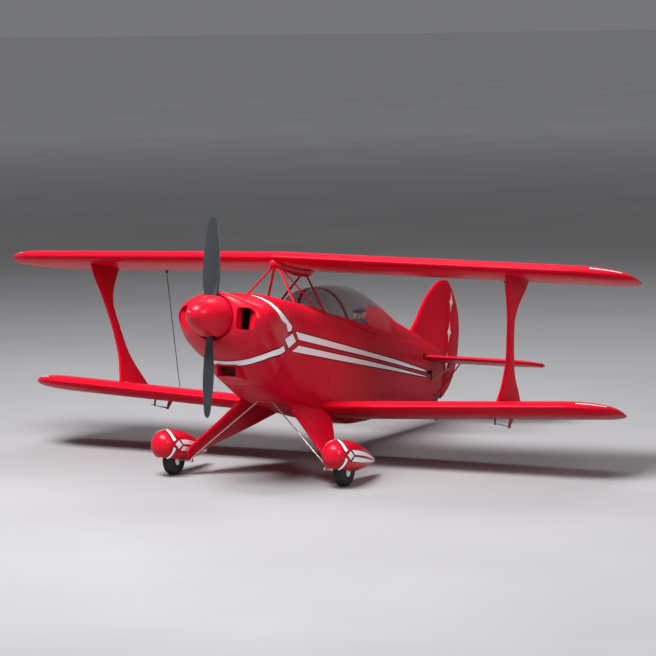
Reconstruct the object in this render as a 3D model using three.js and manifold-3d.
// A 1.4 m span electric model biplane of moulded foam, standing on its wheels with its tail down.
//
// Every piece is drawn in the airplane's own frame: x towards the left (port) wing tip, y aft from
// the tip of the spinner, z up from the thrust line. One group then pitches the whole airplane nose
// up until its three wheels touch the ground, and moves it so that the origin is the bottom centre
// of its box. Lengths are millimetres.

import * as THREE from 'three';
import { mergeVertices } from 'three/addons/utils/BufferGeometryUtils.js';
import Module from 'manifold-3d';

const wasm = await Module();
wasm.setup();

// ---------------------------------------------------------------- driving dimensions

const GAP = 0.35; // clearance between neighbouring pieces
const DEG = Math.PI / 180;
const STANDING_PITCH = 11.7 * DEG;

// Wings: leading edge at the centreline, chord, half span, sweep, dihedral and incidence
const UPPER_WING = {
  leadingY: 294.6, leadingZ: 141, chord: 236, halfSpan: 698,
  sweep: 6.4 * DEG, dihedral: -0.4 * DEG, incidence: 0.8 * DEG,
  rootX: 0.2, tipNose: 98, tipTail: 78, tipPoint: 0.42, aileron: [300, 600],
};
const LOWER_WING = {
  leadingY: 442, leadingZ: -146, chord: 239, halfSpan: 658,
  sweep: 0, dihedral: 2.7 * DEG, incidence: 2 * DEG,
  rootX: 30, tipNose: 98, tipTail: 78, tipPoint: 0.43, aileron: [315, 562],
};
const WING_THICKNESS = 0.124; // of the chord
const WING_CAMBER = 0.012; // of the chord
const HINGE_AT = 0.75; // aileron hinge, as a fraction of the chord
const HINGE_GAP = 0.7;
const AILERON_INSET = 1; // between each end of an aileron and its wing
// Rod that ties the two ailerons of one side together; its posts stand this far aft of the hinges
const SLAVE_ROD = { x: 390, upperBack: 50, lowerBack: 44, reach: 8 };

// Nose
const SPINNER_RADIUS = 42;
const SPINNER_LENGTH = 83;
const PROPELLER_Y = 69;
const PROPELLER_RADIUS = 193;
const COWL_FRONT_Y = 80;
const COWL_REAR_Y = 222;
const COWL_WALL = 3;
const MOTOR_RADIUS = 25;

// Fuselage
const TAIL_POST_Y = 1142.4;
const SKIN = 5;
const SILL = { y: 452, z: 38, slope: -0.059 }; // lower edge of the removable hatch
const HATCH_REAR = { y: 778, z: 26, slope: 2.04 }; // rear edge of the hatch, leaning aft
const GLASS_EDGE = { y: 452, z: 47, slope: -0.041 }; // lower edge of the glass
const GLASS_REAR_Y = 775;

// Landing gear
const WHEEL = { x: 190, y: 306, z: -270.5, radius: 30, width: 22 };
const TAILWHEEL = { y: 1138, radius: 13, width: 7 };

// Tail
const RUDDER_HINGE_Y = 1143;
const STAB_Z = 4;
const ELEVATOR_HINGE_Y = 1128;
const JOINER_RADIUS = 2;

// Control linkages: each arm and the horn that it drives have the same radius
const AILERON_ARM = 22;
const TAIL_ARM = 16;
const AILERON_SERVO = { x: 386, chordwise: 118 };
const ELEVATOR_SERVO = { y: 1046, z: -28 };
const RUDDER_SERVO = { y: 1002, z: -50 };
const TAIL_ROD_X = 26.6;
const RUDDER_ARM_X = -14;
const STEER_Y = 1130; // steering pivot of the tail wheel

// ---------------------------------------------------------------- materials

const RED = 0xd3142c;
const WHITE = 0xf2f0f3;
const paint = (color, roughness, metalness = 0) =>
  new THREE.MeshStandardMaterial({ color, roughness, metalness, flatShading: true });
const redFoam = () => paint(RED, 0.35);
const redPlastic = () => paint(RED, 0.25);
const blackPlastic = () => paint(0x1b1c1e, 0.5);
const greyBlade = () => paint(0x33373a, 0.4);
const steel = () => paint(0xb9b2a8, 0.35, 0.9);
const rubber = () => paint(0x141414, 0.85);

// ---------------------------------------------------------------- geometry helpers

// A closed manifold-3d solid from a closed geometry
function toSolid(geometry) {
  const bare = geometry.clone();
  bare.deleteAttribute('normal');
  bare.deleteAttribute('uv');
  const merged = mergeVertices(bare, 1e-4);
  return new wasm.Manifold(new wasm.Mesh({
    numProp: 3,
    vertProperties: new Float32Array(merged.attributes.position.array),
    triVerts: new Uint32Array(merged.index.array),
  }));
}

function toGeometry(solid) {
  const mesh = solid.getMesh();
  const geometry = new THREE.BufferGeometry();
  geometry.setAttribute('position', new THREE.BufferAttribute(new Float32Array(mesh.vertProperties), 3));
  geometry.setIndex(new THREE.BufferAttribute(new Uint32Array(mesh.triVerts), 1));
  return geometry;
}

const join = (first, ...others) =>
  toGeometry(others.reduce((sum, other) => sum.add(toSolid(other)), toSolid(first)));
const cut = (first, ...tools) =>
  toGeometry(tools.reduce((left, tool) => left.subtract(toSolid(tool)), toSolid(first)));
const common = (first, ...others) =>
  toGeometry(others.reduce((kept, other) => kept.intersect(toSolid(other)), toSolid(first)));

function signedVolume(position, index) {
  const [a, b, c] = [new THREE.Vector3(), new THREE.Vector3(), new THREE.Vector3()];
  let sum = 0;
  for (let i = 0; i < index.length; i += 3) {
    a.fromBufferAttribute(position, index[i]);
    b.fromBufferAttribute(position, index[i + 1]);
    c.fromBufferAttribute(position, index[i + 2]);
    sum += a.dot(b.cross(c));
  }
  return sum;
}

// A closed body through rings of equal point count, with each end closed by a fan to its middle
function loft(rings) {
  const count = rings[0].length;
  const vertices = rings.flat();
  const index = [];
  for (let r = 0; r + 1 < rings.length; r += 1) {
    for (let i = 0; i < count; i += 1) {
      const here = r * count + i;
      const next = r * count + ((i + 1) % count);
      index.push(here, next, next + count, here, next + count, here + count);
    }
  }
  for (const r of [0, rings.length - 1]) {
    const middle = vertices.length;
    const centre = rings[r].reduce((sum, p) => sum.add(p), new THREE.Vector3()).divideScalar(count);
    vertices.push(centre);
    for (let i = 0; i < count; i += 1) {
      const here = r * count + i;
      const next = r * count + ((i + 1) % count);
      index.push(...(r === 0 ? [middle, next, here] : [middle, here, next]));
    }
  }
  const geometry = new THREE.BufferGeometry().setFromPoints(vertices);
  if (signedVolume(geometry.attributes.position, index) < 0) {
    index.reverse();
  }
  geometry.setIndex(index);
  return geometry;
}

// The same body on the other side of the airplane
function mirrored(geometry) {
  const copy = geometry.index ? geometry.clone() : mergeVertices(geometry);
  copy.applyMatrix4(new THREE.Matrix4().makeScale(-1, 1, 1));
  copy.setIndex([...copy.index.array].reverse());
  return copy;
}

function box(x0, x1, y0, y1, z0, z1) {
  const geometry = new THREE.BoxGeometry(x1 - x0, y1 - y0, z1 - z0);
  geometry.translate((x0 + x1) / 2, (y0 + y1) / 2, (z0 + z1) / 2);
  return geometry;
}

// A round rod between two points
function rod(from, to, radius, sides = 8) {
  const along = new THREE.Vector3().subVectors(to, from);
  const geometry = new THREE.CylinderGeometry(radius, radius, along.length(), sides);
  const direction = along.clone().normalize();
  const turn = new THREE.Quaternion().setFromUnitVectors(new THREE.Vector3(0, 1, 0), direction);
  geometry.applyQuaternion(turn);
  geometry.translate(...new THREE.Vector3().addVectors(from, to).divideScalar(2).toArray());
  return geometry;
}

// A flat plate drawn in the (y, z) plane, from x0 to x1
function plate(outline, x0, x1) {
  const geometry = new THREE.ExtrudeGeometry(new THREE.Shape(outline), {
    depth: x1 - x0, bevelEnabled: false, curveSegments: 8,
  });
  // Shape x, y and depth become y, z and x
  geometry.applyMatrix4(new THREE.Matrix4().set(0, 0, 1, x0, 1, 0, 0, 0, 0, 1, 0, 0, 0, 0, 0, 1));
  return geometry;
}

// A body of revolution about the y axis, from (radius, y) pairs that start and end on the axis
function turned(profile, segments = 32) {
  const points = profile.map(([radius, y]) => new THREE.Vector2(radius, y));
  return new THREE.LatheGeometry(points, segments);
}

const at = (x, y, z) => new THREE.Vector3(x, y, z);
const flat = (u, v) => new THREE.Vector2(u, v);

// Straight-line reading of a table whose rows start with their station
function readTable(table, station) {
  const last = table.length - 1;
  let i = 0;
  while (i < last - 1 && table[i + 1][0] < station) {
    i += 1;
  }
  const t = THREE.MathUtils.clamp((station - table[i][0]) / (table[i + 1][0] - table[i][0]), 0, 1);
  return table[i].map((value, k) => THREE.MathUtils.lerp(value, table[i + 1][k], t));
}

// ---------------------------------------------------------------- fuselage shape

// y, top z, bottom z, half width at the thrust line, half width at the bottom,
// roundness exponent above the thrust line and below it (2 is an ellipse, 8 is nearly square)
const BODY_SECTIONS = [
  [80, 46, -46, 46, 46, 2, 2],
  [86, 50, -52, 62, 52, 2.1, 2.1],
  [95, 48, -59, 80, 62, 2.2, 2.2],
  [108, 47, -68, 92, 74, 2.3, 2.3],
  [125, 49, -77, 98, 81, 2.4, 2.4],
  [150, 53, -86, 99, 84, 2.6, 2.5],
  [175, 56, -101, 97, 84, 2.7, 2.6],
  [200, 58, -113, 94, 82, 2.8, 3],
  [222, 58, -120, 90.5, 80, 2.9, 3.5],
  [250, 58, -127, 87, 76, 2.9, 4.4],
  [300, 58, -140, 82, 71, 2.9, 7],
  [320, 58, -146, 81, 69, 2.9, 8],
  [400, 58, -154, 76, 68, 2.9, 8],
  [472, 57, -162, 71, 65, 2.9, 8],
  [560, 56, -167, 66, 60, 2.8, 7],
  [620, 55, -168, 62, 56, 2.7, 6],
  [700, 54, -160, 57, 50, 2.6, 5],
  [800, 52, -145, 49, 42, 2.4, 4],
  [900, 50, -131, 38, 33, 2.2, 3.5],
  [968, 48, -119, 30, 26, 2.1, 3.2],
  [1040, 44, -104, 21, 19, 2, 3],
  [1100, 38, -89, 13, 12, 2, 3],
  [TAIL_POST_Y, 30, -77, 6, 6, 2, 3],
];

// One cross-section of the body, grown outwards by a given amount
function bodyRing(y, grow = 0, points = 32) {
  const [, top, bottom, half, foot, crown, sole] = readTable(BODY_SECTIONS, y);
  const ring = [];
  for (let i = 0; i < points; i += 1) {
    const angle = (i / points) * 2 * Math.PI;
    const up = Math.cos(angle);
    const side = Math.sign(Math.sin(angle)) || 0;
    if (up >= 0) {
      const x = (half + grow) * Math.abs(Math.sin(angle)) ** (2 / crown);
      ring.push(at(side * x, y, (top + grow) * up ** (2 / crown)));
    } else {
      const drop = (-up) ** (2 / sole);
      const width = THREE.MathUtils.lerp(half, foot, drop) + grow;
      const x = width * Math.abs(Math.sin(angle)) ** (2 / sole);
      ring.push(at(side * x, y, (bottom - grow) * drop));
    }
  }
  return ring;
}

function bodyLoft(fromY, toY, grow = 0) {
  const between = BODY_SECTIONS.map(([y]) => y).filter((y) => y > fromY + 2 && y < toY - 2);
  return loft([fromY, ...between, toY].map((y) => bodyRing(y, grow)));
}

// Bubble of the canopy and the turtle deck behind it: y, crown z, half width at the foot, foot z
const BUBBLE_SECTIONS = [
  [399, 60, 8, 42],
  [404, 70, 22, 42],
  [415, 78, 34, 40],
  [440, 90, 46, 36],
  [480, 101, 57, 28],
  [525, 110, 61, 22],
  [571, 117, 61, 18],
  [618, 120, 60, 14],
  [667, 116, 57, 12],
  [717, 107, 54, 10],
  [770, 93, 50, 8],
  [823, 79, 44, 6],
  [851, 72, 40, 5],
  [900, 65, 34, 2],
  [968, 55, 27, 0],
  [1020, 49, 20, 0],
];

function bubbleRing(y, grow = 0, points = 28) {
  const [, crown, half, foot] = readTable(BUBBLE_SECTIONS, y);
  const ring = [];
  for (let i = 0; i <= points / 2; i += 1) {
    const angle = ((i / (points / 2)) - 0.5) * Math.PI;
    const x = (half + grow) * Math.sign(angle) * Math.abs(Math.sin(angle)) ** 0.9;
    ring.push(at(x, y, foot + (crown + grow - foot) * Math.cos(angle) ** 0.9));
  }
  ring.push(at(half + grow, y, foot - 6), at(-half - grow, y, foot - 6));
  return ring;
}

function bubbleLoft(fromY, toY, grow = 0) {
  const between = BUBBLE_SECTIONS.map(([y]) => y).filter((y) => y > fromY + 2 && y < toY - 2);
  return loft([fromY, ...between, toY].map((y) => bubbleRing(y, grow)));
}

// ---------------------------------------------------------------- hatch cutting shapes

const lineZ = (line, y) => line.z + (y - line.y) * line.slope;
const hatchRearY = (z) => HATCH_REAR.y + (z - HATCH_REAR.z) * HATCH_REAR.slope;
const CEILING = 200;

// The hatch's place: above a sloping plane, ahead of its own leaning rear edge
function hatchSide(sillOffset, rearOffset) {
  const front = 380;
  const low = (y) => lineZ(SILL, y) + sillOffset;
  const rearLow = hatchRearY(low(HATCH_REAR.y)) + rearOffset;
  return plate([
    flat(front, low(front)), flat(rearLow, low(rearLow)),
    flat(hatchRearY(CEILING) + rearOffset, CEILING), flat(front, CEILING),
  ], -100, 100);
}

// The glass's share of that place, grown downwards and aft
function glassSpace(grow) {
  const rear = GLASS_REAR_Y + grow;
  return plate([
    flat(370, lineZ(GLASS_EDGE, 370) - grow), flat(rear, lineZ(GLASS_EDGE, rear) - grow),
    flat(rear, CEILING), flat(370, CEILING),
  ], -110, 110);
}

// The hatch's outline from above, drawn in by a margin: a round nose that passes between the strut feet
function hatchPlan(margin) {
  const half = [
    [0, 397 + margin], [25 - margin, 401 + margin], [42 - margin, 420 + margin],
    [51 - margin, 447 + margin], [90, 452 + margin], [90, 1000],
  ];
  const outline = [...half, ...half.slice(1).reverse().map(([x, y]) => [-x, y])];
  const geometry = new THREE.ExtrudeGeometry(new THREE.Shape(outline.map(([x, y]) => flat(x, y))), {
    depth: 260, bevelEnabled: false,
  });
  geometry.translate(0, 0, -50);
  return geometry;
}

const hatchSpace = (sillOffset, margin) =>
  common(hatchSide(sillOffset, -margin), hatchPlan(margin));

// ---------------------------------------------------------------- wings

// From (span, chordwise, thickness) to the airplane's frame: sweep, dihedral and incidence are shears
function wingMatrix(wing) {
  return new THREE.Matrix4().set(
    1, 0, 0, 0,
    Math.tan(wing.sweep), 1, 0, wing.leadingY,
    Math.tan(wing.dihedral), -Math.tan(wing.incidence), 1, wing.leadingZ,
    0, 0, 0, 1,
  );
}

const onWing = (wing, span, chordwise, height = 0) =>
  at(span, chordwise, height).applyMatrix4(wingMatrix(wing));

// Half thickness of the wing section at a fraction of the chord, as a fraction of the chord
const sectionHalf = (f) => 5 * WING_THICKNESS
  * (0.2969 * Math.sqrt(f) - 0.126 * f - 0.3516 * f ** 2 + 0.2843 * f ** 3 - 0.1015 * f ** 4) + 0.0028 * f;
const sectionCamber = (f) => 4 * WING_CAMBER * f * (1 - f);

function wingRib(span, nose, tail, grow, squash) {
  const chord = tail - nose;
  const steps = 11;
  const ring = [];
  for (const side of [1, -1]) {
    for (let i = 0; i < steps; i += 1) {
      const t = side === 1 ? i / steps : 1 - i / steps;
      const f = (1 - Math.cos(t * Math.PI)) / 2;
      const half = sectionHalf(f) * chord * squash + grow;
      ring.push(at(span, nose - grow + f * (chord + 2 * grow), sectionCamber(f) * chord + side * half));
    }
  }
  return ring;
}

// The left half of a wing with its aileron still in one piece, grown outwards by a given amount
function wingHalf(wing, grow = 0) {
  const noseFrom = wing.halfSpan - wing.tipNose;
  const tailFrom = wing.halfSpan - wing.tipTail;
  const tipPoint = wing.tipPoint * wing.chord;
  const bow = (t) => 1 - Math.sqrt(Math.max(0, 1 - Math.max(0, t) ** 2));
  const spans = [wing.rootX, noseFrom];
  for (const t of [0.3, 0.52, 0.7, 0.83, 0.91, 0.96, 0.99]) {
    spans.push(noseFrom + t * wing.tipNose);
  }
  const ribs = spans.map((span) => {
    const nose = tipPoint * bow((span - noseFrom) / wing.tipNose);
    const tail = wing.chord - (wing.chord - tipPoint) * bow((span - tailFrom) / wing.tipTail);
    const squash = THREE.MathUtils.lerp(1, 1.15, bow((span - tailFrom) / wing.tipTail));
    return wingRib(span, nose, tail, grow, squash);
  });
  return loft(ribs).applyMatrix4(wingMatrix(wing));
}

// The aileron's share of the wing: a wedge whose front edge is the hinge line
function aileronWedge(wing) {
  const hinge = HINGE_AT * wing.chord;
  const [inner, outer] = wing.aileron;
  const reach = 30;
  const slant = reach * Math.tan(26 * DEG);
  const outline = [
    flat(hinge, 0), flat(hinge + slant, -reach), flat(wing.chord + reach, -reach),
    flat(wing.chord + reach, reach), flat(hinge + slant, reach),
  ];
  return plate(outline, inner + AILERON_INSET, outer - AILERON_INSET).applyMatrix4(wingMatrix(wing));
}

// The space that the wing leaves for its aileron: a square-fronted block
function aileronBay(wing) {
  const [inner, outer] = wing.aileron;
  return box(inner, outer, HINGE_AT * wing.chord - HINGE_GAP, wing.chord + 40, -40, 40)
    .applyMatrix4(wingMatrix(wing));
}

// Control horn under the lower aileron, its pin hole straight below the hinge line
function aileronHorn(wing) {
  const hinge = HINGE_AT * wing.chord;
  const outline = [
    flat(hinge + 4, -2), flat(hinge + 2.2, -9), flat(hinge - 3, -AILERON_ARM - 2.5),
    flat(hinge + 3, -AILERON_ARM - 3), flat(hinge + 22, -2),
  ];
  const x = AILERON_SERVO.x + 8;
  return plate(outline, x, x + 2.4).applyMatrix4(wingMatrix(wing));
}

// Small post for the rod that ties the upper and lower ailerons together
function slavePost(wing, back, direction) {
  const y = HINGE_AT * wing.chord + back;
  const tip = direction * SLAVE_ROD.reach;
  const outline = [flat(y - 6, 0), flat(y - 2.5, tip), flat(y + 2.5, tip), flat(y + 4, 0)];
  return plate(outline, SLAVE_ROD.x - 1.2, SLAVE_ROD.x + 1.2).applyMatrix4(wingMatrix(wing));
}

function aileron(wing, extras) {
  return join(common(wingHalf(wing), aileronWedge(wing)), ...extras);
}

// ---------------------------------------------------------------- the group and its parts

const airplane = new THREE.Group();
airplane.rotation.x = -STANDING_PITCH;

function addPart(name, geometry, material) {
  const mesh = new THREE.Mesh(geometry, material);
  mesh.name = name;
  airplane.add(mesh);
}

// A left piece and its mirror image on the right
function addPair(name, geometry, material) {
  addPart(`${name}_left`, geometry, material());
  addPart(`${name}_right`, mirrored(geometry), material());
}

// ---------------------------------------------------------------- wings and their struts

const bodyGrown = bodyLoft(COWL_REAR_Y - 60, TAIL_POST_Y, GAP);
const lowerWingGrown = wingHalf(LOWER_WING, GAP);
const upperWingGrown = wingHalf(UPPER_WING, GAP);

// Pocket in the underside of the lower wing for the aileron servo and its arm
function servoPocket() {
  const { x, chordwise } = AILERON_SERVO;
  const body = box(x - 26, x + 0.5, chordwise - 22, chordwise + 11, -30, 7);
  const armSlot = box(x, x + 8, chordwise - 12, chordwise + 13, -30, 6);
  return join(body, armSlot).applyMatrix4(wingMatrix(LOWER_WING));
}

function aileronServo() {
  const { x, chordwise } = AILERON_SERVO;
  const body = box(x - 24, x, chordwise - 17, chordwise + 6, -6, 6);
  const flange = box(x - 9, x - 7, chordwise - 21.5, chordwise + 10.5, -6, 6);
  const boss = rod(at(x - 1, chordwise, 0), at(x + 3, chordwise, 0), 4, 12);
  return join(body, flange, boss).applyMatrix4(wingMatrix(LOWER_WING));
}

addPair('upper_wing', cut(wingHalf(UPPER_WING), aileronBay(UPPER_WING)), redFoam);
addPair('lower_wing', cut(wingHalf(LOWER_WING), aileronBay(LOWER_WING), bodyGrown, servoPocket()), redFoam);

const upperPost = slavePost(UPPER_WING, SLAVE_ROD.upperBack, -1);
const lowerPost = slavePost(LOWER_WING, SLAVE_ROD.lowerBack, 1);
addPair('aileron_upper', aileron(UPPER_WING, [upperPost]), redFoam);
addPair('aileron_lower', aileron(LOWER_WING, [aileronHorn(LOWER_WING), lowerPost]), redFoam);
addPair('aileron_servo', aileronServo(), blackPlastic);

// Servo arm pointing straight down, and the rod from its tip to the horn
function aileronArm() {
  const { x, chordwise } = AILERON_SERVO;
  const hub = rod(at(x + 3.4, chordwise, 0), at(x + 6.4, chordwise, 0), 3.5, 12);
  const arm = plate([
    flat(chordwise - 2.6, 0), flat(chordwise + 2.6, 0),
    flat(chordwise + 1.8, -AILERON_ARM - 2), flat(chordwise - 1.8, -AILERON_ARM - 2),
  ], x + 4, x + 6);
  return join(hub, arm).applyMatrix4(wingMatrix(LOWER_WING));
}

function aileronPushrod() {
  const x = AILERON_SERVO.x + 12.6;
  const from = at(x, AILERON_SERVO.chordwise, -AILERON_ARM);
  const to = at(x, HINGE_AT * LOWER_WING.chord, -AILERON_ARM);
  const pin = (end, reach) => rod(at(end.x + 1, end.y, end.z), at(end.x - reach, end.y, end.z), 0.9);
  const clevis = rod(at(x, to.y - 14, to.z), at(x, to.y + 2.5, to.z), 1.5);
  const shaft = rod(at(x, from.y - 2, from.z), to, 1);
  return join(shaft, clevis, pin(from, 6.1)).applyMatrix4(wingMatrix(LOWER_WING));
}

addPair('aileron_servo_arm', aileronArm(), blackPlastic);
addPair('aileron_pushrod', aileronPushrod(), steel);

// Rod between the two ailerons on one side: each end stops just short of its post
function slaveRod() {
  const { x, upperBack, lowerBack, reach } = SLAVE_ROD;
  const top = onWing(UPPER_WING, x, HINGE_AT * UPPER_WING.chord + upperBack, -reach - 2);
  const foot = onWing(LOWER_WING, x, HINGE_AT * LOWER_WING.chord + lowerBack, reach + 2.5);
  const along = new THREE.Vector3().subVectors(top, foot).normalize();
  const clevisTop = foot.clone().addScaledVector(along, 16);
  return join(rod(foot, top, 1.25), rod(foot, clevisTop, 2));
}

addPair('aileron_slave_rod', slaveRod(), () => paint(WHITE, 0.5));

// Teardrop under the joint of the two upper wing halves. Its keel and top are the fairing; the rest
// of its lower half is the top plates of the two cabane struts, which clamp the keel between them.
const FAIRING_SECTIONS = [
  [299, 129.5, 3], [301, 129.5, 6.5], [305, 129.5, 9], [311, 129.3, 10], [317, 129, 9.8], [326, 128, 9.4],
  [351, 127.5, 10], [400, 127, 12], [440, 128, 12], [458, 129, 10], [472, 131, 7], [484, 133, 3],
];
const TOP_PLATE = { front: 314, rear: 450, inner: 3, top: 124.5 };

function teardrop() {
  return loft(FAIRING_SECTIONS.map(([y, z, radius]) => {
    const ring = [];
    for (let i = 0; i < 14; i += 1) {
      const angle = (i / 14) * 2 * Math.PI;
      ring.push(at(radius * Math.sin(angle), y, z + radius * Math.cos(angle)));
    }
    return ring;
  }));
}

function centreFairing() {
  const { front, rear, inner, top } = TOP_PLATE;
  const plateRoom = box(inner - GAP, 20, front - GAP, rear + GAP, 90, top + GAP);
  return cut(teardrop(), upperWingGrown, mirrored(upperWingGrown), plateRoom, mirrored(plateRoom));
}
addPart('wing_center_fairing', centreFairing(), redPlastic());

// N-shaped cabane strut: two legs and a diagonal of streamlined tube between the body and the fairing
function streamlinedTube(from, to) {
  const ring = (centre) => {
    const points = [];
    for (let i = 0; i < 8; i += 1) {
      const angle = (i / 8) * 2 * Math.PI;
      points.push(at(centre.x + 2.2 * Math.sin(angle), centre.y + 3.6 * Math.cos(angle), centre.z));
    }
    return points;
  };
  return loft([ring(from), ring(to)]);
}

const CABANE = {
  frontTop: at(6.5, 319, 123), diagonalTop: at(6.5, 326, 123), rearTop: at(6.5, 442, 120),
  frontFoot: at(62, 295, 47.5), diagonalFoot: at(59.5, 403, 46), rearFoot: at(57, 432, 48),
};

// From the top down to a foot on the body, and a little way into it
function cabaneLeg(top, foot) {
  const inside = new THREE.Vector3().subVectors(foot, top).normalize().multiplyScalar(8).add(foot);
  return streamlinedTube(top, inside);
}

function cabaneStrut() {
  const front = cabaneLeg(CABANE.frontTop, CABANE.frontFoot);
  const diagonal = cabaneLeg(CABANE.diagonalTop, CABANE.diagonalFoot);
  const rear = cabaneLeg(CABANE.rearTop, CABANE.rearFoot);
  const { front: plateFront, rear: plateRear, inner, top } = TOP_PLATE;
  const topPlate = common(teardrop(), box(inner, 20, plateFront, plateRear, 90, top));
  return cut(join(front, diagonal, topPlate, rear), bodyGrown, upperWingGrown);
}
addPair('cabane_strut', cabaneStrut(), redFoam);

// Interplane strut: a thin curved blade with a narrow waist and a deep hollow in its rear edge.
// z, x of its middle, front edge y, rear edge y
const STRUT_SECTIONS = [
  [138, 470, 376, 503], [125, 467.5, 383, 494.5], [110, 466.5, 390.6, 487.5], [90, 463.5, 403, 476],
  [70, 460, 418, 468], [50, 457, 431, 466.5], [30, 453.5, 442, 474], [10, 450.2, 452, 484],
  [-10, 447, 461.5, 495], [-30, 444, 469, 507], [-50, 440.4, 474.5, 520.5], [-70, 437, 476.6, 541],
  [-90, 433.8, 475.5, 566], [-105, 430.5, 473.4, 585], [-130, 426, 470, 617],
];
const STRUT_THICKNESS = 7;

function interplaneStrut() {
  const rings = STRUT_SECTIONS.map(([z, x, front, rear]) => {
    const half = STRUT_THICKNESS / 2;
    return [
      at(x, front, z), at(x + half, front + half, z), at(x + half, rear - half, z),
      at(x, rear, z), at(x - half, rear - half, z), at(x - half, front + half, z),
    ];
  });
  return cut(loft(rings), upperWingGrown, lowerWingGrown);
}
addPair('interplane_strut', interplaneStrut(), redFoam);

// ---------------------------------------------------------------- fuselage with its fin

// Fin: z, leading edge y, half thickness
const FIN_SECTIONS = [
  [10, 955, 5.5], [56, 968, 5.5], [86, 993, 5.3], [110, 1010, 5.1], [136, 1032, 4.9],
  [158, 1056, 4.6], [174, 1082, 4.2], [183, 1103, 3.6], [186, 1118, 2.6],
];

function fin() {
  return loft(FIN_SECTIONS.map(([z, front, half]) => {
    const length = TAIL_POST_Y - front;
    const nose = Math.min(16, length * 0.4);
    return [
      at(0, front, z), at(half * 0.7, front + nose * 0.3, z), at(half, front + nose, z),
      at(half, TAIL_POST_Y, z), at(-half, TAIL_POST_Y, z), at(-half, front + nose, z),
      at(-half * 0.7, front + nose * 0.3, z),
    ];
  }));
}

function turtleDeck() {
  const behindHatch = plate([
    flat(hatchRearY(0), 0), flat(hatchRearY(160), 160), flat(1100, 160), flat(1100, 0),
  ], -90, 90);
  return common(bubbleLoft(720, 1020), behindHatch);
}

const CAVITY = { front: 232, rear: 940 };
const TRAY = { rear: 545, z: -110, thickness: 4 };
const MOTOR_BOX = { front: 136, half: 27 };

function servoPockets() {
  const elevator = ELEVATOR_SERVO;
  const rudder = RUDDER_SERVO;
  return [
    box(-5.4, 60, elevator.y - 22, elevator.y + 11, elevator.z - 6.4, elevator.z + 6.4),
    box(-60, 4, rudder.y - 22, rudder.y + 11, rudder.z - 24, rudder.z + 9),
  ];
}

// The stabiliser's slot, open at the tail post, with room for the elevator's joiner
const stabiliserSlot = () => box(-60, 60, 985, 1160, STAB_Z - 6.4, STAB_Z + 6.4);

function fuselage() {
  const outer = join(bodyLoft(COWL_REAR_Y + GAP, TAIL_POST_Y), turtleDeck(), fin());
  const cavity = bodyLoft(CAVITY.front, CAVITY.rear, -SKIN);
  const hatchBay = hatchSpace(0, 0);
  const tray = common(
    box(-90, 90, CAVITY.front - 4, TRAY.rear, TRAY.z - TRAY.thickness, TRAY.z),
    bodyLoft(CAVITY.front - 6, TRAY.rear + 10, -2),
  );
  const { front, half } = MOTOR_BOX;
  const motorBox = cut(box(-half, half, front, COWL_REAR_Y + 6, -half, half),
    box(4 - half, half - 4, front + 5, COWL_REAR_Y + 20, 4 - half, half - 4));
  const cableHole = rod(at(0, COWL_REAR_Y - 30, 0), at(0, CAVITY.front + 20, 0), 12, 16);
  const shell = cut(join(cut(outer, cavity), tray, motorBox), cableHole, hatchBay);
  return cut(shell, stabiliserSlot(), ...servoPockets());
}
addPart('fuselage', fuselage(), redFoam());

// ---------------------------------------------------------------- cowl

const INLET = { x: 67, halfWidth: 17.5, halfHeight: 21 };
const NOSE_HOLE_RADIUS = 44; // the spinner's rear edge turns in it
const SCOOP = { halfWidth: 22, top: -87, bottom: -110, front: 146, rear: 215 };

// Opening through the left cheek, as a bar along y with a straight inner side and a round outer end
function inletBar(fromY, toY) {
  const outline = new THREE.Shape();
  const { halfWidth, halfHeight } = INLET;
  outline.moveTo(-halfWidth, -halfHeight);
  outline.lineTo(0, -halfHeight);
  outline.absellipse(0, 0, halfWidth, halfHeight, -Math.PI / 2, Math.PI / 2, false);
  outline.lineTo(-halfWidth, halfHeight);
  outline.closePath();
  const bar = new THREE.ExtrudeGeometry(outline, {
    depth: toY - fromY, bevelEnabled: false, curveSegments: 7,
  });
  // The extrusion turns to run along +y; the outline is the same upside down
  bar.rotateX(-Math.PI / 2);
  bar.translate(INLET.x, fromY, 0);
  return bar;
}

function cowl() {
  const outer = bodyLoft(COWL_FRONT_Y, COWL_REAR_Y);
  const { halfWidth, top, bottom, front, rear } = SCOOP;
  const scoop = plate([
    flat(front, top + 14), flat(front + 6, bottom + 2), flat(front + 10, bottom),
    flat(rear - 18, bottom - 1), flat(rear, top + 14),
  ], -halfWidth, halfWidth);
  const scoopMouth = box(3 - halfWidth, halfWidth - 3, front - 20, rear - 30, bottom + 3, top - 2);
  const hollow = bodyLoft(COWL_FRONT_Y + COWL_WALL, COWL_REAR_Y + 5, -COWL_WALL);
  const shaftHole = rod(at(0, COWL_FRONT_Y - 10, 0), at(0, COWL_FRONT_Y + 20, 0), NOSE_HOLE_RADIUS, 28);
  const inlet = inletBar(70, 135);
  return cut(join(outer, scoop), hollow, shaftHole, scoopMouth, inlet, mirrored(inlet));
}
addPart('cowl', cowl(), redPlastic());

// ---------------------------------------------------------------- motor, propeller and spinner

const MOTOR_REAR_Y = MOTOR_BOX.front - GAP;

addPart('motor_stator', turned([
  [0, 101], [19, 101], [19, 126], [26, 126], [26, MOTOR_REAR_Y], [0, MOTOR_REAR_Y],
]), paint(0x8f9296, 0.4, 0.8));

// Bell of the outrunner motor with its shaft and the nut that clamps the propeller
addPart('motor_can', turned([
  [0, 45], [5, 47], [5, 55.6], [4, 55.6], [4, 88], [MOTOR_RADIUS - 3, 88], [MOTOR_RADIUS, 91],
  [MOTOR_RADIUS, 124], [MOTOR_RADIUS - 2, 124], [MOTOR_RADIUS - 2, 97], [0, 97],
]), paint(0x2c2e31, 0.35, 0.7));

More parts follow.
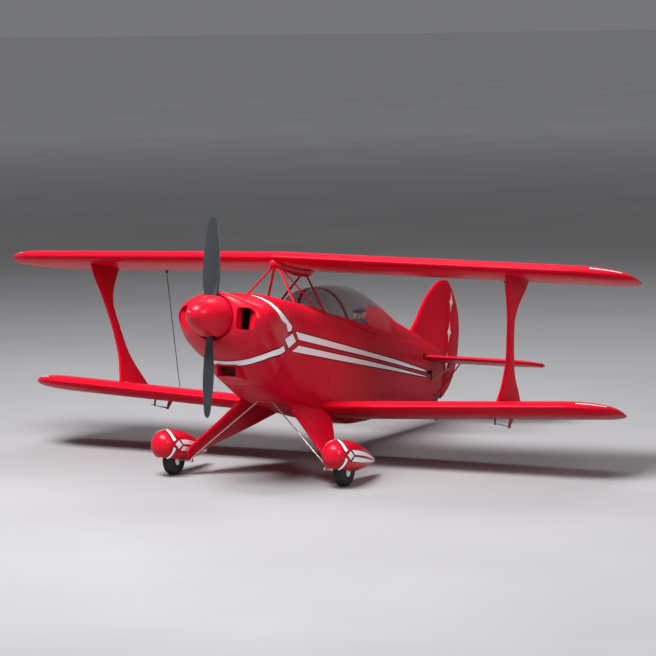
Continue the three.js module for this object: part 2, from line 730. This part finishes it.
addPart('spinner_backplate', turned([
  [4.5, SPINNER_LENGTH + GAP], [SPINNER_RADIUS, SPINNER_LENGTH + GAP],
  [SPINNER_RADIUS, SPINNER_LENGTH + 4.5], [4.5, SPINNER_LENGTH + 4.5], [4.5, SPINNER_LENGTH + GAP],
]), redPlastic());

// Hollow nose cone, round-tipped, with a slot on each side for a blade
function spinnerCone() {
  const skin = (length, radius, tip) => {
    const profile = [];
    for (let i = 0; i <= 9; i += 1) {
      const angle = ((i / 9) * Math.PI) / 2;
      profile.push([radius * Math.sin(angle) ** 1.08, tip + length * (1 - Math.cos(angle))]);
    }
    profile.push([0, tip + length]);
    return turned(profile);
  };
  const outer = skin(SPINNER_LENGTH, SPINNER_RADIUS, 0);
  const inner = skin(SPINNER_LENGTH, SPINNER_RADIUS - 2.5, 4);
  const bladeSlot = box(-13, 13, PROPELLER_Y - 12, SPINNER_LENGTH + 10, -60, 60);
  return cut(outer, inner, bladeSlot);
}
addPart('spinner_cone', spinnerCone(), redPlastic());

// Two-blade propeller: station from the hub, chord, pitch angle in degrees, thickness
const BLADE_SECTIONS = [
  [8, 17, 40, 9], [24, 20, 42, 8], [45, 27, 36, 6], [80, 33, 27, 4.6], [115, 32, 21, 3.8],
  [150, 26, 17, 3], [178, 18, 15, 2.4], [190, 11, 14, 2], [PROPELLER_RADIUS, 4, 14, 1.4],
];

function blade() {
  return loft(BLADE_SECTIONS.map(([station, chord, pitch, thickness]) => {
    const ring = [];
    for (let i = 0; i < 10; i += 1) {
      const angle = (i / 10) * 2 * Math.PI;
      const across = (chord / 2) * Math.cos(angle);
      const through = (thickness / 2) * Math.sin(angle);
      const turn = pitch * DEG;
      ring.push(at(
        across * Math.cos(turn) - through * Math.sin(turn),
        PROPELLER_Y + across * Math.sin(turn) + through * Math.cos(turn),
        station,
      ));
    }
    return ring;
  }));
}

function propeller() {
  const [hubFront, hubRear] = [56, SPINNER_LENGTH - 0.1];
  const hub = turned([[4.5, hubFront], [12, hubFront], [12, hubRear], [4.5, hubRear], [4.5, hubFront]], 20);
  const up = blade();
  const down = blade().applyMatrix4(new THREE.Matrix4().makeRotationY(Math.PI));
  const shaftHole = rod(at(0, 40, 0), at(0, 100, 0), 4.5, 20);
  const lean = new THREE.Matrix4().makeRotationY(-3 * DEG);
  return cut(join(hub, up, down), shaftHole).applyMatrix4(lean);
}
addPart('propeller', propeller(), greyBlade());

// ---------------------------------------------------------------- hatch, glass and pilot

function canopyHatch() {
  const frameSpace = cut(hatchSpace(GAP, GAP), glassSpace(GAP));
  const skin = common(join(bodyLoft(385, 940), bubbleLoft(399, 940)), frameSpace);
  const footwell = common(hatchPlan(14), box(-34, 34, 470, 732, 0, 100));
  const floor = common(box(-40, 40, 460, 738, 20, 25), bodyLoft(385, 880));
  return join(cut(skin, footwell), common(floor, hatchSpace(-14, 8)));
}
addPart('canopy_hatch', canopyHatch(), redFoam());

function canopyGlass() {
  const wall = 1.6;
  const space = common(glassSpace(0), hatchSpace(0, GAP + 0.2));
  const outer = common(bubbleLoft(399, 900, -0.2), space);
  return cut(outer, bubbleLoft(399 + wall, 902, -wall - 0.2));
}
addPart('canopy_glass', canopyGlass(), paint(0x4a4d50, 0.1));

// Pilot bust: shoulders, neck and a plain rounded head
function pilot() {
  const base = 711;
  const floorZ = 25.4;
  const torso = new THREE.SphereGeometry(1, 16, 10);
  torso.scale(24, 13, 22);
  torso.translate(0, base, floorZ + 12);
  const bust = common(torso, box(-40, 40, base - 30, base + 30, floorZ, floorZ + 60));
  const neck = rod(at(0, base, floorZ + 25), at(0, base, floorZ + 40), 5.5, 10);
  const head = new THREE.SphereGeometry(1, 16, 12);
  head.scale(12.5, 15, 16);
  head.translate(0, base, 67);
  return join(bust, neck, head);
}
addPart('pilot', pilot(), paint(0xd9b9a4, 0.7));

// ---------------------------------------------------------------- main landing gear

// Wheel spat: a teardrop of round sections. y, middle z, half width, half height
const PANT_SECTIONS = [
  [238, -243.5, 6, 6], [240, -243.5, 12, 12.5], [245, -243.5, 19, 20], [253, -243.5, 24.5, 26.5],
  [264, -243.5, 28, 30.5], [278, -243.5, 29, 31.5], [300, -243, 28.6, 31.5], [330, -242.5, 26, 29.5],
  [360, -242.5, 21, 24.5], [390, -243, 14.5, 17.5], [415, -243.5, 8.5, 10], [432, -244, 4, 5],
  [440, -244.5, 1.5, 2],
];

function pantLoft(grow) {
  return loft(PANT_SECTIONS.map(([y, z, half, tall]) => {
    const ring = [];
    for (let i = 0; i < 20; i += 1) {
      const angle = (i / 20) * 2 * Math.PI;
      ring.push(at(WHEEL.x + (half + grow) * Math.sin(angle), y, z + (tall + grow) * Math.cos(angle)));
    }
    return ring;
  }));
}

function wheelPant() {
  const { x, y, z, radius, width } = WHEEL;
  const wellHalf = width / 2 + 2;
  const well = rod(at(x - wellHalf, y, z), at(x + wellHalf, y, z), radius + 4, 24);
  const mouth = box(x - wellHalf, x + wellHalf, y - 34, y + 34, z - 40, z);
  const axleHole = rod(at(x - 60, y, z), at(x, y, z), 3, 12);
  const belowHub = box(x - 60, x + 60, 100, 500, z - 40, z + 1);
  return cut(pantLoft(0), well, mouth, axleHole, belowHub);
}
addPair('wheel_pant', wheelPant(), redPlastic);

// Gear leg: a blade that tapers evenly from the body's bottom corner down to the axle
// x, z, front y, rear y, half thickness, lean of the section in degrees
const LEG_SECTIONS = [
  [44, -138, 312.6, 512, 7, 45], [66, -160.5, 310.5, 478, 6.5, 45], [88, -183, 308, 446, 6.2, 45],
  [112, -207.5, 303, 408, 5.6, 45], [134, -230, 297, 372, 5, 43], [148, -246, 294, 345, 4.2, 32],
  [154, -259, 295, 325, 3.6, 10], [155, -280, 297, 315, 3.4, 0],
];

function legLoft(grow) {
  return loft(LEG_SECTIONS.map(([x, z, front, rear, half, lean]) => {
    const [dx, dz] = [(half + grow) * Math.cos(lean * DEG), (half + grow) * Math.sin(lean * DEG)];
    const middle = (front + rear) / 2;
    const shoulder = (rear - front) * 0.3;
    return [
      at(x, front, z), at(x + dx, middle - shoulder, z + dz), at(x + dx, middle + shoulder, z + dz),
      at(x, rear, z), at(x - dx, middle + shoulder, z - dz), at(x - dx, middle - shoulder, z - dz),
    ];
  }));
}

function gearLeg() {
  const axleHole = rod(at(120, WHEEL.y, WHEEL.z), at(190, WHEEL.y, WHEEL.z), 2.4, 12);
  return cut(legLoft(0), bodyGrown, lowerWingGrown, pantLoft(0.8), axleHole);
}
addPair('gear_leg', gearLeg(), redFoam);

// Axle bolt through the leg, the inner wall of the spat and the wheel
function axle() {
  const { x, y, z } = WHEEL;
  const shaft = rod(at(x - 40, y, z), at(x + 13, y, z), 2, 12);
  const head = rod(at(x - 43, y, z), at(x - 39.6, y, z), 4, 6);
  return join(shaft, head);
}
addPair('axle', axle(), steel);

function wheelAt(geometry, side) {
  const mesh = geometry.clone();
  mesh.rotateZ(-Math.PI / 2);
  mesh.translate(side * WHEEL.x, WHEEL.y, WHEEL.z);
  return mesh;
}

function wheelHub() {
  const half = WHEEL.width / 2;
  return turned([
    [2.4, -half], [6, -half], [6, -half + 2], [16.6, -half + 2], [16.6, half - 2],
    [6, half - 2], [6, half], [2.4, half], [2.4, -half],
  ], 24);
}

function tyre() {
  const half = WHEEL.width / 2;
  return turned([
    [17, -half + 2], [22, -half], [27, -half + 0.6], [29.3, -half + 2.6], [WHEEL.radius, -half + 6],
    [WHEEL.radius, half - 6], [29.3, half - 2.6], [27, half - 0.6], [22, half], [17, half - 2],
    [17, -half + 2],
  ], 28);
}

for (const [side, word] of [[1, 'left'], [-1, 'right']]) {
  addPart(`wheel_hub_${word}`, wheelAt(wheelHub(), side), paint(WHITE, 0.4));
  addPart(`tyre_${word}`, wheelAt(tyre(), side), rubber());
}

// Thin brace from the middle of the belly down to the foot of the gear leg
function gearBrace() {
  const top = at(11, 318.4, -140);
  const foot = at(152, 307.6, -266.4);
  return cut(rod(top, foot, 1.3, 8), bodyGrown, legLoft(GAP));
}
addPair('gear_brace', gearBrace(), steel);

// ---------------------------------------------------------------- tailplane

// The planform of stabiliser and elevator together, left half: y of leading and trailing edge by x
const STAB_LEADING = [[0, 992], [20, 997], [212, 1043], [232, 1053], [243, 1069], [250, 1092], [253, 1111]];

function stabiliser() {
  const section = (x, front, thick) => {
    const nose = Math.min(14, (ELEVATOR_HINGE_Y - front) * 0.4);
    const rear = ELEVATOR_HINGE_Y - HINGE_GAP;
    return [
      at(x, front, STAB_Z),
      at(x, front + nose * 0.3, STAB_Z + thick * 0.7),
      at(x, front + nose, STAB_Z + thick),
      at(x, rear, STAB_Z + thick * 0.9),
      at(x, rear, STAB_Z - thick * 0.9),
      at(x, front + nose, STAB_Z - thick),
      at(x, front + nose * 0.3, STAB_Z - thick * 0.7),
    ];
  };
  const thickness = (x) => (x > 240 ? 3.6 : 5.2);
  const left = STAB_LEADING.map(([x, front]) => section(x, front, thickness(x)));
  const right = STAB_LEADING.slice(1).reverse().map(([x, front]) => section(-x, front, thickness(x)));
  const joinerRoom = box(-29, 29, ELEVATOR_HINGE_Y - 3.2, ELEVATOR_HINGE_Y + 5, STAB_Z - 8, STAB_Z + 8);
  return cut(loft([...right, ...left]), joinerRoom);
}
addPart('stabilizer', stabiliser(), redFoam());

// x and y of the elevator's trailing edge, left half
const ELEVATOR_TRAILING = [
  [23, 1136], [40, 1149], [80, 1184], [110, 1195], [188, 1196], [219, 1188], [239, 1170], [249, 1148],
];

function elevatorHalf() {
  return loft(ELEVATOR_TRAILING.map(([x, rear]) => {
    const thick = x > 230 ? 3.45 : 4.6;
    const shoulder = ELEVATOR_HINGE_Y + thick * Math.tan(28 * DEG);
    return [
      at(x, ELEVATOR_HINGE_Y, STAB_Z),
      at(x, shoulder, STAB_Z + thick),
      at(x, rear - 1, STAB_Z + 1.1),
      at(x, rear, STAB_Z),
      at(x, rear - 1, STAB_Z - 1.1),
      at(x, shoulder, STAB_Z - thick),
    ];
  }));
}

function elevator() {
  const left = elevatorHalf();
  const y = ELEVATOR_HINGE_Y;
  const joiner = rod(at(-28, y, STAB_Z), at(28, y, STAB_Z), JOINER_RADIUS, 12);
  const horn = plate([
    flat(y + 4, STAB_Z - 1), flat(y - 2.4, STAB_Z - TAIL_ARM - 2), flat(y + 2.4, STAB_Z - TAIL_ARM - 2.4),
    flat(y + 16, STAB_Z - 1),
  ], TAIL_ROD_X - 3.2, TAIL_ROD_X - 1.6);
  return join(left, mirrored(left), joiner, horn);
}
addPart('elevator', elevator(), redFoam());

// ---------------------------------------------------------------- rudder

// z and trailing edge y
const RUDDER_TRAILING = [
  [-79, 1152], [-72, 1166], [-59, 1182], [-45, 1197], [-30, 1208], [-8, 1219], [28, 1227.5], [60, 1229],
  [85, 1226.5], [110, 1219.5], [135, 1205], [158, 1185], [173, 1168], [183, 1152],
];

function rudder() {
  const bevelTan = Math.tan(33 * DEG);
  const blade = loft(RUDDER_TRAILING.map(([z, rear]) => {
    const half = z > 165 || z < -70 ? 3.4 : 4.6;
    const y = RUDDER_HINGE_Y + 0.3;
    return [
      at(0, y, z), at(half, y + half * bevelTan, z), at(1.1, rear - 1, z), at(0, rear, z),
      at(-1.1, rear - 1, z), at(-half, y + half * bevelTan, z),
    ];
  }));
  const hornZ = RUDDER_SERVO.z + 12.4;
  const y = RUDDER_HINGE_Y;
  const hornOutline = [
    flat(-1, y + 3.4), flat(-1, y + 8), flat(-6, y + 8), flat(-13, y + 2.6), flat(-TAIL_ARM - 2.4, y + 2.2),
    flat(-TAIL_ARM - 2.4, y - 2.2), flat(-13, y - 2.2), flat(-9, y), flat(-5.4, y + 3.4),
  ];
  const horn = new THREE.ExtrudeGeometry(new THREE.Shape(hornOutline), { depth: 2, bevelEnabled: false });
  horn.translate(0, 0, hornZ);
  return join(blade, horn);
}
addPart('rudder', rudder(), redFoam());

// ---------------------------------------------------------------- tail servos, arms and rods

function elevatorServo() {
  const { y, z } = ELEVATOR_SERVO;
  const body = box(-5, 19, y - 17, y + 6, z - 6, z + 6);
  const flange = box(10, 12, y - 21.5, y + 10.5, z - 6, z + 6);
  const boss = rod(at(18, y, z), at(21.4, y, z), 4, 12);
  return join(body, flange, boss);
}
addPart('elevator_servo', elevatorServo(), blackPlastic());

function rudderServo() {
  const { y, z } = RUDDER_SERVO;
  const body = box(-20, -8, y - 17, y + 6, z - 23, z + 1);
  const flange = box(-20, -8, y - 21.5, y + 10.5, z - 9, z - 7);
  const boss = rod(at(-14, y, z), at(-14, y, z + 4), 4, 12);
  return join(body, flange, boss);
}
addPart('rudder_servo', rudderServo(), blackPlastic());

function elevatorArm() {
  const { y, z } = ELEVATOR_SERVO;
  const hub = rod(at(21.8, y, z), at(24.8, y, z), 3.5, 12);
  const arm = plate([
    flat(y - 2.6, z), flat(y + 2.6, z), flat(y + 1.8, z - TAIL_ARM - 2), flat(y - 1.8, z - TAIL_ARM - 2),
  ], 22.6, 24.6);
  return join(hub, arm);
}
addPart('elevator_servo_arm', elevatorArm(), blackPlastic());

function rudderArm() {
  const { y, z } = RUDDER_SERVO;
  const hub = rod(at(RUDDER_ARM_X, y, z + 4.4), at(RUDDER_ARM_X, y, z + 7.4), 3.5, 12);
  const arm = box(RUDDER_ARM_X - TAIL_ARM - 2, RUDDER_ARM_X, y - 2, y + 2, z + 5, z + 7);
  return join(hub, arm);
}
addPart('rudder_servo_arm', rudderArm(), blackPlastic());

// Wire from a servo arm to a horn, with its pin through the arm and a clevis at the horn
function tailPushrod(from, to, pinDirection, reach) {
  const along = new THREE.Vector3().subVectors(to, from).normalize();
  const past = (point, direction, distance) => point.clone().addScaledVector(direction, distance);
  const clevis = rod(past(to, along, -13), past(to, along, 2), 1.5);
  const shaft = rod(past(from, along, -2), to, 1);
  const pin = rod(past(from, pinDirection, -0.8), past(from, pinDirection, reach), 0.8);
  return join(shaft, clevis, pin);
}

addPart('elevator_pushrod', tailPushrod(
  at(TAIL_ROD_X, ELEVATOR_SERVO.y, ELEVATOR_SERVO.z - TAIL_ARM),
  at(TAIL_ROD_X, ELEVATOR_HINGE_Y, STAB_Z - TAIL_ARM), at(-1, 0, 0), 1.6,
), steel());
addPart('rudder_pushrod', tailPushrod(
  at(RUDDER_ARM_X - TAIL_ARM, RUDDER_SERVO.y, RUDDER_SERVO.z + 9.4),
  at(-TAIL_ARM, RUDDER_HINGE_Y, RUDDER_SERVO.z + 9.4), at(0, 0, -1), 2,
), steel());

// ---------------------------------------------------------------- tail braces and tail wheel

function tailBrace() {
  return cut(rod(at(9, 1103, -78), at(60, 1113, STAB_Z - 5.8), 1.6, 8), bodyGrown);
}
addPair('tail_brace', tailBrace(), redPlastic);

// The ground plane sets the tail wheel's height: all three wheels touch it
const [pitchSin, pitchCos] = [Math.sin(STANDING_PITCH), Math.cos(STANDING_PITCH)];
const wheelDrop = WHEEL.y * pitchSin - WHEEL.z * pitchCos + WHEEL.radius;
const tailWheelZ = (TAILWHEEL.y * pitchSin + TAILWHEEL.radius - wheelDrop) / pitchCos;

// Plate screwed under the tail with the bush that the steering wire turns in
function tailwheelBracket() {
  const tongue = box(-6, 6, 1085, STEER_Y + 5, -96, -60);
  const below = bodyLoft(1000, TAIL_POST_Y, 2.6);
  const strap = cut(common(tongue, below), bodyLoft(1000, TAIL_POST_Y, GAP));
  const bush = rod(at(0, STEER_Y, -93), at(0, STEER_Y, -82.2), 4, 14);
  const bore = rod(at(0, STEER_Y, -110), at(0, STEER_Y, -60), 1.8, 12);
  return cut(join(strap, bush), bore);
}
addPart('tailwheel_bracket', tailwheelBracket(), blackPlastic());

// Steering wire through the bush, with a fork that straddles the wheel
function tailwheelFork() {
  const { y, radius } = TAILWHEEL;
  const crownZ = tailWheelZ + radius + 3;
  const stem = rod(at(0, STEER_Y, crownZ - 1), at(0, STEER_Y, -84), 1.25, 8);
  const crown = box(-7, 7, STEER_Y - 2, y + 2, crownZ - 1.2, crownZ + 1.2);
  const arm = (side) => box(side * 5.6 - 1, side * 5.6 + 1, y - 2, y + 2, tailWheelZ - 2, crownZ);
  const pin = rod(at(-6, y, tailWheelZ), at(6, y, tailWheelZ), 1.2, 8);
  return join(stem, crown, arm(1), arm(-1), pin);
}
addPart('tailwheel_fork', tailwheelFork(), steel());

function tailWheel() {
  const half = TAILWHEEL.width / 2;
  const wheel = turned([
    [1.6, -half], [9, -half], [TAILWHEEL.radius, -1.4], [TAILWHEEL.radius, 1.4],
    [9, half], [1.6, half], [1.6, -half],
  ], 24);
  wheel.rotateZ(-Math.PI / 2);
  return wheel.translate(0, TAILWHEEL.y, tailWheelZ);
}
addPart('tailwheel', tailWheel(), rubber());

// ---------------------------------------------------------------- power and radio inside the body

const trayTop = TRAY.z + GAP;
addPart('battery', box(-22, 22, 300, 440, trayTop, trayTop + 44), paint(0x2b3a55, 0.5));
addPart('speed_controller', box(-17, 17, 240, 292, trayTop, trayTop + 16), blackPlastic());
addPart('receiver', box(-13, 13, 470, 515, trayTop, trayTop + 14), blackPlastic());

// ---------------------------------------------------------------- placing on the ground

const group = new THREE.Group();
group.add(airplane);
group.updateMatrixWorld(true);
const bounds = new THREE.Box3().setFromObject(group, true);
airplane.position.set(
  -(bounds.min.x + bounds.max.x) / 2,
  -(bounds.min.y + bounds.max.y) / 2,
  -bounds.min.z,
);
group.updateMatrixWorld(true);

export default group;
